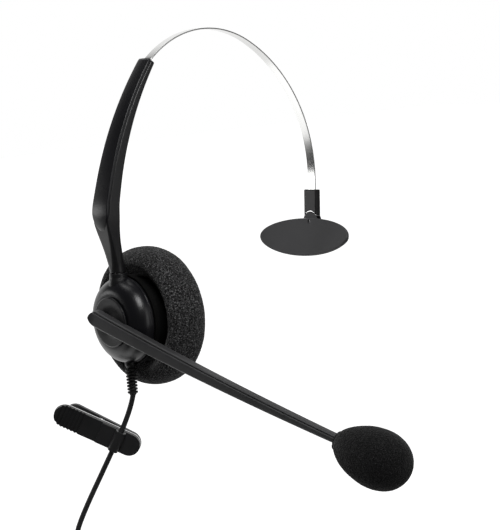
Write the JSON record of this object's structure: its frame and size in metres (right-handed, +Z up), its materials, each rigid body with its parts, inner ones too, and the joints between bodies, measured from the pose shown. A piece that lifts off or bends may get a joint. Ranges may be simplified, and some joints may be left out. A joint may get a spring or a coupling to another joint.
{
  "type": "office headset",
  "caption": "Single-ear office headset with foam ear cushion, swinging microphone boom, sliding steel headband, rocking temple pad and a corded plug with clothing clip.",
  "frame": {"origin": "centre of the ear cushion's face that rests on the ear", "axes": "+X out of that face towards the head, +Z up, -Y the front where the boom points"},
  "size_m": [0.137, 0.2055, 0.2941],
  "materials": {
    "foam": "coarse open foam",
    "felt": "thin acoustic felt",
    "gloss_black": "glossy",
    "satin_black": "satin",
    "matte_black": "fine matte",
    "pad_grey": "soft matte",
    "steel": "polished strip",
    "bright_steel": "bright",
    "dark_steel": "plain",
    "rubber": "soft matte",
    "cord_jacket": "smooth",
    "cone_paper": "thin film",
    "board": "fibre board",
    "copper": "wire",
    "gold": "plated"
  },
  "bodies": {
    "earcup": {"ear_cushion": "foam", "speaker_plate": "matte_black", "speaker_felt": "felt", "capsule_dome": "gloss_black", "capsule_screws": "dark_steel", "speaker_frame": "matte_black", "speaker_cone": "cone_paper", "voice_coil": "copper", "speaker_magnet": "dark_steel", "circuit_board": "board", "friction_washer": "felt", "strain_relief": "rubber", "cord": "cord_jacket", "cord_tail": "cord_jacket", "cord_coil": "cord_jacket", "coil_tie": "rubber", "plug_boot": "rubber", "plug_grip": "satin_black", "plug_contact": "gold", "plug_insulators": "matte_black"},
    "arm": {"arm_frame": "satin_black", "arm_cover": "gloss_black", "arm_screws": "dark_steel", "arm_pin": "dark_steel", "pin_clip": "dark_steel"},
    "band": {"headband": "steel", "band_sleeve": "satin_black", "sleeve_liner": "bright_steel"},
    "pad": {"pad_face": "pad_grey", "pad_neck": "satin_black", "pad_rivet": "dark_steel"},
    "boom": {"boom_hub": "satin_black", "hub_retainer": "dark_steel", "boom_base": "matte_black", "boom_cap": "matte_black", "boom_wire": "copper", "mic_housing": "matte_black", "mic_capsule": "dark_steel", "windscreen": "foam"},
    "clip": {"clip_front_jaw": "satin_black", "clip_liner": "bright_steel", "cord_holder": "satin_black", "clip_pin": "bright_steel", "clip_bracket": "bright_steel", "clip_spring": "bright_steel"},
    "clip_lever": {"clip_back_jaw": "satin_black"}
  },
  "joints": [
    {"name": "ear_swivel", "type": "hinge", "parent": "earcup", "child": "arm", "pos_m": [-0.025, 0, 0.02], "axis": [0, 0, 1], "range_deg": [-15, 15]},
    {"name": "band_extension", "type": "hinge", "parent": "arm", "child": "band", "pos_m": [0.11598, 0, 0.01248], "axis": [0, 1, 0], "range_deg": [0, 7.5]},
    {"name": "pad_pivot", "type": "hinge", "parent": "band", "child": "pad", "pos_m": [0.08704, 0, 0.02907], "axis": [0.9962, 0, -0.0872], "range_deg": [-15, 15]},
    {"name": "boom_swing", "type": "hinge", "parent": "earcup", "child": "boom", "pos_m": [-0.03, 0, 0], "axis": [1, 0, 0], "range_deg": [-85, 45]},
    {"name": "clip_slide", "type": "slide", "parent": "earcup", "child": "clip", "axis": [-0.2454, 0.4498, -0.8588], "range_m": [-0.002, 0.008]},
    {"name": "clip_jaw", "type": "hinge", "parent": "clip", "child": "clip_lever", "pos_m": [-0.03137, 0.01597, -0.04695], "axis": [0.2454, -0.4498, 0.8588], "range_deg": [0, 7], "stiffness_Nm_per_rad": 0.05, "springref_deg": -22.92}
  ]
}
